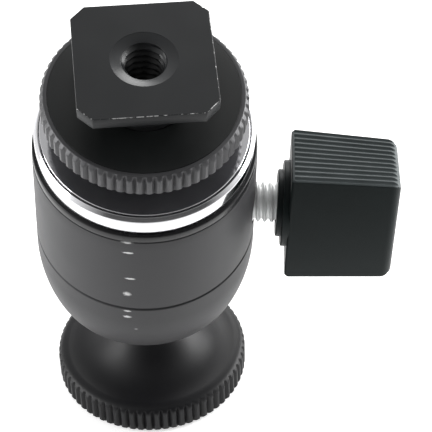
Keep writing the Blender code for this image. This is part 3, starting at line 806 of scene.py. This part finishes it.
def make_shoe():
    """Shoe plate with worn edges, and the threaded post riveted in it."""
    post_low, post_high, post_radius = measure("threaded_post", HOUSING)
    plate_low, plate_high, _ = measure("shoe_plate", HOUSING)
    width, length, corner, edge = 18.75, 18.95, 1.95, 0.13
    rivet, rivet_neck = 4.55, 4.05
    front_wear, right_wear, other_wear = 0.62, 0.56, 0.42
    turned = HOUSING @ Matrix.Rotation(sizes().shoe_turn, 4, "Z")
    plate = block("shoe_foot_plate", (width, length, plate_high - plate_low),
                  (0, 0, (plate_high + plate_low) / 2))
    pick(plate, "EDGE", lambda e: abs(e.verts[0].co.z - e.verts[1].co.z) > MM)
    bpy.ops.mesh.bevel(offset=corner * MM, segments=1, affect="EDGES")
    pick(plate, "EDGE", lambda e: True)
    bpy.ops.mesh.bevel(offset=edge * MM, segments=2, affect="EDGES")
    close_up(plate)
    combine(plate, cylinder_tool(rivet_neck, plate_low - 0.1, plate_high + 0.1, 96, rivet + 0.03),
            "DIFFERENCE")
    worn = plate.data.attributes.new("wear", "FLOAT", "FACE")
    for face, value in zip(plate.data.polygons, worn.data):
        x, y, z = face.center / MM
        on_edge = z > plate_high - edge * 1.5 and 0.6 < face.normal.z < 0.98 and Vector((x, y)).length > 6
        front = y < -length / 2 + corner + 0.2
        right = x > width / 2 - corner
        share = front_wear if front else right_wear if right else other_wear
        value.value = share if on_edge else 0.0
    settle(plate, turned, smooth=20)
    anodised = finish("shoe_black", colours().anodised, 0.4, turned, specular=0.28, mottle=0.06,
                      grain=(0.00016, 0.000003), specks=(0.0042, 0.07, 0.05, 0.7), wear=(0.0007, 0.82))
    deliver(plate, "head", "shoe_metal", anodised, "shoe_plate")

    tap_crest, tap_depth, mouth = 2.66, 0.6, 3.15
    shoulder, stud_bore, tap_floor = plate_low - GAP, 3.4, plate_high - 9.5
    outline = [(rivet, plate_high - 0.04), (rivet_neck - 0.02, shoulder + 0.6), (rivet_neck - 0.02, shoulder)]
    outline += [(post_radius - 0.5, shoulder), (post_radius - 0.25, shoulder - 0.25)]
    outline += [(post_radius, height) for height in even(shoulder - 0.5, post_low + 0.5, FINE_PITCH / 10)]
    outline += [(post_radius - 0.25, post_low + 0.25), (post_radius - 0.5, post_low), (stud_bore, post_low),
                (stud_bore, tap_floor)]
    mouth_low = plate_high - 0.5
    outline += [(tap_crest, height) for height in even(tap_floor, mouth_low - 0.6, QUARTER_INCH_PITCH / 10)]
    outline += [(tap_crest + 0.3, mouth_low - 0.3), (mouth - 0.06, mouth_low),
                (mouth + 0.02, plate_high - 0.44)]

    def radius_at(at, angle, height):
        if at > post_radius - 0.45 and height < shoulder:
            return min(at, post_radius - FINE_DEPTH * thread_wave(angle, height, FINE_PITCH))
        if at < tap_crest + 0.35 and tap_floor < height < mouth_low:
            return max(at, tap_crest + tap_depth * thread_wave(angle, height, QUARTER_INCH_PITCH))
        return at

    post = turn("shoe_post", outline, 72, radius_at=radius_at)
    settle(post, HOUSING, smooth=25)
    rivet_black = finish("post_black", tuple(channel * 1.2 for channel in colours().anodised), 0.32, HOUSING,
                         metallic=0.1, specular=0.4, mottle=0.1, lines=(0.00015, 0.000002, 0.05),
                         specks=(0.0016, 0.05, 0.06, 0.8))
    deliver(post, "head", "shoe_metal", rivet_black, "threaded_post")


def make_lock_nut():
    """Knurled nut on the post and the washer let into its upper face."""
    low, high, rim = measure("lock_nut", HOUSING)
    washer_low, washer_high, washer_radius = measure("nut_washer", HOUSING)
    bore, face = 6.2, 13.75
    teeth = sizes().nut_teeth
    corners = rounded([(face, high, 0.12), (rim, high - 0.7, 0.2), (rim, low + 0.45, 0.25),
                       (rim - 0.45, low, 0.15),
                       (bore, low, 0.2), (bore, washer_low - GAP, 0),
                       (washer_radius + 0.04, washer_low - GAP, 0),
                       (washer_radius + 0.04, high, 0.03)], steps=5)
    nut = turn("knurled_nut", corners, teeth * 8,
               radius_at=fluted(teeth, rim, sizes().knurl_depth / MM, face - 0.3))
    settle(nut, HOUSING)
    black = finish("nut_black", colours().nut, 0.4, HOUSING, metallic=0.4, mottle=0.12,
                   grain=(0.00012, 0.000004),
                   lines=(0.0002, 0.000001, 0.04), specks=(0.003, 0.03, 0.05, 0.4))
    deliver(nut, "nut", "nut_metal", black, "lock_nut")
    washer = turn("friction_washer", rounded([
        (washer_radius, washer_high, 0.04), (washer_radius, washer_low, 0.1), (bore + GAP, washer_low, 0.1),
        (bore + GAP, washer_high, 0.1)]), 144)
    settle(washer, HOUSING)
    satin = finish("washer_black", colours().washer, 0.42, HOUSING, specular=0.32, mottle=0.2,
                  grain=(0.0002, 0.000004), specks=(0.0045, 0.06, 0.05, 0.6))
    deliver(washer, "washer", "washer_rubber", satin, "nut_washer")


def make_clamp_screw():
    """Zinc-plated clamp screw between the housing and the knob."""
    low, high, radius = measure("clamp_stud", CLAMP_TURNED)
    screw = threaded_rod("clamp_screw", radius, low, high, FINE_PITCH, FINE_DEPTH)
    settle(screw, CLAMP_TURNED, smooth=25)
    deliver(screw, "knob", "zinc_steel", zinc_finish("clamp_zinc", CLAMP_TURNED), "clamp_stud")


def make_knob():
    """Moulded wing, ribbed on its narrow faces, on a stepped round collar."""
    inner, outer, _ = measure("wing_knob", CLAMP_TURNED)
    block_inner, collar_start = inner + 1.7, inner + 0.8
    width, thickness, outer_width, outer_thickness = 17.9, 13.1, 16.9, 11.7
    collar_radius, shoulder_radius, screw_bore = 5.0, 6.4, 3.05
    wing = block("wing_grip", (outer - block_inner, thickness, width), ((outer + block_inner) / 2, 0, 0))
    middle = (outer + block_inner) / 2 * MM
    pick(wing, "VERT", lambda v: v.co.x > middle)
    bpy.ops.transform.resize(value=(1, outer_thickness / thickness, outer_width / width),
                             center_override=(outer * MM, 0, 0))
    # the outer end is softly rounded, the other edges are crisper
    pick(wing, "EDGE", lambda e: min(v.co.x for v in e.verts) > (outer - 0.1) * MM)
    bpy.ops.mesh.bevel(offset=1.5 * MM, segments=8, affect="EDGES")
    pick(wing, "EDGE", lambda e: max(v.co.x for v in e.verts) < (block_inner + 0.1) * MM)
    bpy.ops.mesh.bevel(offset=0.55 * MM, segments=4, affect="EDGES")
    pick(wing, "EDGE", lambda e: e.calc_face_angle() > math.radians(60))
    bpy.ops.mesh.bevel(offset=0.35 * MM, segments=4, affect="EDGES")
    close_up(wing)
    for side in (0, math.pi):
        comb = rib_comb(block_inner + 0.4, outer - 0.45, thickness, outer_thickness / thickness,
                        width / 2, (width - outer_width) / 2 / (outer - block_inner), block_inner)
        settle(comb, Matrix.Rotation(side, 4, "X"))
        combine(wing, comb, "DIFFERENCE")
    settle(wing, Matrix.Rotation(sizes().wing_roll, 4, "X"))
    collar = turn("collar", rounded([
        (0, inner, 0), (collar_radius, inner, 0.3), (collar_radius, collar_start, 0.05),
        (shoulder_radius, collar_start, 0.3), (shoulder_radius, block_inner + 1.2, 0),
        (0, block_inner + 1.2, 0)], closed=False), 96, closed=False)
    settle(collar, Matrix.Rotation(math.radians(90), 4, "Y"))
    combine(wing, collar, "UNION")
    bore = cylinder_tool(screw_bore, inner - 1, measure("clamp_stud", CLAMP_TURNED)[1] + 0.2)
    settle(bore, Matrix.Rotation(math.radians(90), 4, "Y"))
    combine(wing, bore, "DIFFERENCE")
    unrolled = Matrix.Rotation(-sizes().wing_roll, 3, "X")
    # the ribbed narrow faces are marked to be painted lighter, a painted highlight for the light that falls
    # on them
    lit_rib_faces = wing.data.attributes.new("painted_rib_light", "FLOAT", "FACE")
    for face, value in zip(wing.data.polygons, lit_rib_faces.data):
        centre, normal = unrolled @ face.center / MM, unrolled @ face.normal
        value.value = float(centre.x > block_inner + 0.1 and abs(centre.z) > outer_width / 2 - 0.9
                            and abs(normal.z) > 0.35)
    settle(wing, CLAMP, smooth=28)
    # the last colour is painted on the ribbed faces as a painted highlight
    plastic = finish("knob_plastic", colours().plastic, 0.42, CLAMP, specular=0.15, mottle=0.15,
                     grain=(0.00022, 0.000012), scratches=(0.0022, 0.42, 0.16),
                     specks=(0.0020, 0.22, 0.06, 0.42),
                     painted_rib_light=(0.085, 0.098, 0.100))
    deliver(wing, "knob", "knob_plastic", plastic, "wing_knob")


def rib_comb(start, end, thickness, taper, face_height, slope, block_inner):
    """A comb of flared bars that cuts the grooves of one narrow face, sizes in millimetres."""
    ribs = sizes().knob_ribs
    depth = sizes().rib_depth / MM
    pitch = (thickness - 1.3) / ribs
    first = -pitch * ribs / 2
    # half of the groove's section: half width, and height above the face as a share of the depth
    section = ((0.62, 0.25), (0.52, 0.0), (0.42, -0.14), (0.33, -0.42), (0.25, -0.78), (0.12, -1.0))
    points = [(start, first + half, face_height + depth * share) for half, share in section]
    points += [(start, first - half, face_height + depth * share) for half, share in reversed(section)]
    comb = trace("comb", points)
    bpy.ops.mesh.select_all(action="SELECT")
    bpy.ops.mesh.edge_face_add()
    bpy.ops.mesh.extrude_region_move(TRANSFORM_OT_translate={"value": ((end - start) * MM, 0, 0)})
    close_up(comb)
    repeat = comb.modifiers.new("Repeat", "ARRAY")
    repeat.count = ribs + 1
    repeat.use_relative_offset = False
    repeat.use_constant_offset = True
    repeat.constant_offset_displace = (0, pitch * MM, 0)
    bpy.ops.object.modifier_apply(modifier=repeat.name)
    edit(comb)
    middle = (start + end) / 2 * MM
    pick(comb, "VERT", lambda v: v.co.x > middle)
    bpy.ops.transform.resize(value=(1, taper, 1), center_override=(0, 0, 0))
    bpy.ops.transform.translate(value=(0, 0, -slope * (end - block_inner) * MM))
    pick(comb, "VERT", lambda v: v.co.x < middle)
    bpy.ops.transform.translate(value=(0, 0, -slope * (start - block_inner) * MM))
    close_up(comb)
    return comb


# ---------------------------------------------------------------- inner pieces and stage

def finish_inner_pieces():
    """Finishes of the CAD pieces inside the housing, which keep their shape."""
    acetal_white = finish("seat_acetal", (0.75, 0.73, 0.66), 0.5, HOUSING, grain=(0.0003, 0.000004))
    acetal_black = finish("cup_acetal", (0.05, 0.05, 0.05), 0.5, HOUSING, grain=(0.0003, 0.000004))
    brass = finish("turned_brass", (0.72, 0.52, 0.22), 0.3, HOUSING, metallic=1.0,
                   lines=(0.0002, 0.000002, 0.06))
    drawn = finish("drawn_steel", (0.55, 0.55, 0.56), 0.3, HOUSING, metallic=1.0, grain=(0.0004, 0.000003))
    inner = {"seat_ring": acetal_white, "friction_cup": acetal_black, "pressure_piston": brass,
             "thrust_pin": drawn, "preload_spring": drawn, "foot_stud": zinc_finish("stud_zinc", HOUSING)}
    for node, material in inner.items():
        frame["nodes"][node].data.materials.clear()
        frame["nodes"][node].data.materials.append(material)


# Name, place, side and power in watts of each lamp, and the point that they face
SOFTBOXES = (
    ("left_softbox", (-0.45, 0.02, 0.16), 0.30, 1.8),
    ("right_softbox", (0.45, 0.05, 0.16), 0.30, 2.9),
    ("back_softbox", (0.22, 0.50, 0.36), 0.32, 2.2),
)
LIT_POINT = (0, 0, 0.035)

CAMERA_EYE = (-0.025317, -0.187516, 0.211846)
CAMERA_TARGET = (0.009795, -0.008143, 0.038546)
CAMERA_ROLL = -1.669        # degrees
CAMERA_LENS = 141.67        # millimetres, on a sensor 36 wide


def make_floor():
    """Pale floor with a dim glow that fades out towards the front, open where the platform's screw passes."""
    floor = turn("floor", [(4.0, 0), (60, 0), (400, 0), (4000, 0)], 96, closed=False)
    settle(floor, Matrix.Translation((0, 0, -0.02 * MM)))
    pale = bpy.data.materials.new("pale_floor")
    pale.use_nodes = True
    tree = pale.node_tree
    shader = tree.nodes["Principled BSDF"]
    shader.inputs["Base Color"].default_value = (0.9, 0.9, 0.9, 1)
    shader.inputs["Roughness"].default_value = 0.9
    shader.inputs["Emission Strength"].default_value = 0.5
    where = add_node(tree, "SeparateXYZ", Vector=add_node(tree, "TexCoord").outputs["Object"])
    glow = map_range(tree, where.outputs[1], start=-0.08, end=-0.03)
    tree.links.new(glow, shader.inputs["Emission Color"])
    floor.data.materials.append(pale)


def make_world():
    """Even pale surroundings, darker overhead and in front."""
    world = bpy.data.worlds.new("studio")
    bpy.context.scene.world = world
    world.use_nodes = True
    tree = world.node_tree
    parts = add_node(tree, "SeparateXYZ", Vector=add_node(tree, "TexCoord").outputs["Generated"])
    overhead = map_range(tree, parts.outputs[2], start=0.55, end=0.9, low=1.0, high=0.5)
    front = map_range(tree, parts.outputs[1], start=-0.75, end=-0.3, low=0.1, high=1.0)
    background = tree.nodes["Background"]
    tree.links.new(maths(tree, "MULTIPLY", overhead, front), background.inputs["Color"])
    background.inputs["Strength"].default_value = 1.0


def make_lamps():
    """Soft square lamps at both sides and behind."""
    for name, place, size, power in SOFTBOXES:
        lamp = bpy.data.lights.new(name, "AREA")
        lamp.shape = "SQUARE"
        lamp.size = size
        lamp.energy = power
        obj = bpy.data.objects.new(name, lamp)
        bpy.context.scene.collection.objects.link(obj)
        obj.location = place
        obj.rotation_euler = (Vector(LIT_POINT) - Vector(place)).to_track_quat("-Z", "Y").to_euler()


def make_camera():
    """The camera, which looks down at the front."""
    camera = bpy.data.cameras.new("camera")
    camera.lens = CAMERA_LENS
    camera.sensor_width = 36.0
    camera.clip_start = 0.01
    camera.clip_end = 20.0
    holder = bpy.data.objects.new("camera", camera)
    bpy.context.scene.collection.objects.link(holder)
    look = Vector(CAMERA_TARGET) - Vector(CAMERA_EYE)
    roll = Matrix.Rotation(math.radians(CAMERA_ROLL), 3, "Z").to_quaternion()
    holder.rotation_mode = "QUATERNION"
    holder.location = CAMERA_EYE
    holder.rotation_quaternion = look.to_track_quat("-Z", "Y") @ roll
    bpy.context.scene.camera = holder
    bpy.context.scene.view_settings.view_transform = "Standard"


def make_stage():
    """Floor, surroundings, lamps and camera."""
    make_floor()
    make_world()
    make_lamps()
    make_camera()


# ---------------------------------------------------------------- operators and panel

class BALLHEAD_OT_platform(bpy.types.Operator):
    """Builds the platform disc, its pad and its screw"""
    bl_idname = "ballhead.platform"
    bl_label = "Camera platform"
    bl_options = {"REGISTER", "UNDO"}

    def execute(self, context):
        make_platform()
        return {"FINISHED"}


class BALLHEAD_OT_ball(bpy.types.Operator):
    """Builds the ball and its neck"""
    bl_idname = "ballhead.ball"
    bl_label = "Ball and neck"
    bl_options = {"REGISTER", "UNDO"}

    def execute(self, context):
        make_ball()
        return {"FINISHED"}


class BALLHEAD_OT_housing(bpy.types.Operator):
    """Builds the barrel and dome"""
    bl_idname = "ballhead.housing"
    bl_label = "Housing"
    bl_options = {"REGISTER", "UNDO"}

    def execute(self, context):
        make_housing()
        return {"FINISHED"}


class BALLHEAD_OT_rings(bpy.types.Operator):
    """Builds the lip ring, the trim ring and the cap"""
    bl_idname = "ballhead.rings"
    bl_label = "Rings and cap"
    bl_options = {"REGISTER", "UNDO"}

    def execute(self, context):
        make_top_rings()
        return {"FINISHED"}


class BALLHEAD_OT_shoe(bpy.types.Operator):
    """Builds the shoe plate and its threaded post"""
    bl_idname = "ballhead.shoe"
    bl_label = "Shoe foot"
    bl_options = {"REGISTER", "UNDO"}

    def execute(self, context):
        make_shoe()
        return {"FINISHED"}


class BALLHEAD_OT_nut(bpy.types.Operator):
    """Builds the knurled nut and its washer"""
    bl_idname = "ballhead.nut"
    bl_label = "Lock nut"
    bl_options = {"REGISTER", "UNDO"}

    def execute(self, context):
        make_lock_nut()
        return {"FINISHED"}


class BALLHEAD_OT_clamp(bpy.types.Operator):
    """Builds the clamp screw"""
    bl_idname = "ballhead.clamp"
    bl_label = "Clamp screw"
    bl_options = {"REGISTER", "UNDO"}

    def execute(self, context):
        make_clamp_screw()
        return {"FINISHED"}


class BALLHEAD_OT_knob(bpy.types.Operator):
    """Builds the wing knob"""
    bl_idname = "ballhead.knob"
    bl_label = "Wing knob"
    bl_options = {"REGISTER", "UNDO"}

    def execute(self, context):
        make_knob()
        return {"FINISHED"}


class BALLHEAD_OT_inner(bpy.types.Operator):
    """Finishes the pieces inside the housing"""
    bl_idname = "ballhead.inner"
    bl_label = "Inner pieces"
    bl_options = {"REGISTER", "UNDO"}

    def execute(self, context):
        finish_inner_pieces()
        return {"FINISHED"}


class BALLHEAD_OT_stage(bpy.types.Operator):
    """Builds the floor, the lights and the camera"""
    bl_idname = "ballhead.stage"
    bl_label = "Stage"
    bl_options = {"REGISTER", "UNDO"}

    def execute(self, context):
        make_stage()
        return {"FINISHED"}


OPERATORS = [
    BALLHEAD_OT_platform, BALLHEAD_OT_ball, BALLHEAD_OT_housing, BALLHEAD_OT_rings, BALLHEAD_OT_shoe,
    BALLHEAD_OT_nut, BALLHEAD_OT_clamp, BALLHEAD_OT_knob, BALLHEAD_OT_inner, BALLHEAD_OT_stage,
]


class BALLHEAD_PT_panel(bpy.types.Panel):
    """Lists the pieces of the ball head."""
    bl_idname = "BALLHEAD_PT_panel"
    bl_label = "Ball head"
    bl_space_type = "VIEW_3D"
    bl_region_type = "UI"
    bl_category = "Ball head"

    def draw(self, context):
        for operator in OPERATORS:
            self.layout.operator(operator.bl_idname)


CLASSES = [BallHeadColours, BallHeadSizes, *OPERATORS, BALLHEAD_PT_panel]


def register():
    for cls in CLASSES:
        bpy.utils.register_class(cls)
    bpy.types.Scene.ball_head_colours = bpy.props.PointerProperty(type=BallHeadColours)
    bpy.types.Scene.ball_head_sizes = bpy.props.PointerProperty(type=BallHeadSizes)


def unregister():
    del bpy.types.Scene.ball_head_sizes
    del bpy.types.Scene.ball_head_colours
    for cls in reversed(CLASSES):
        bpy.utils.unregister_class(cls)


def main():
    register()
    for operator in OPERATORS:
        getattr(bpy.ops.ballhead, operator.bl_idname.split(".")[1])()


if __name__ == "__main__":
    main()
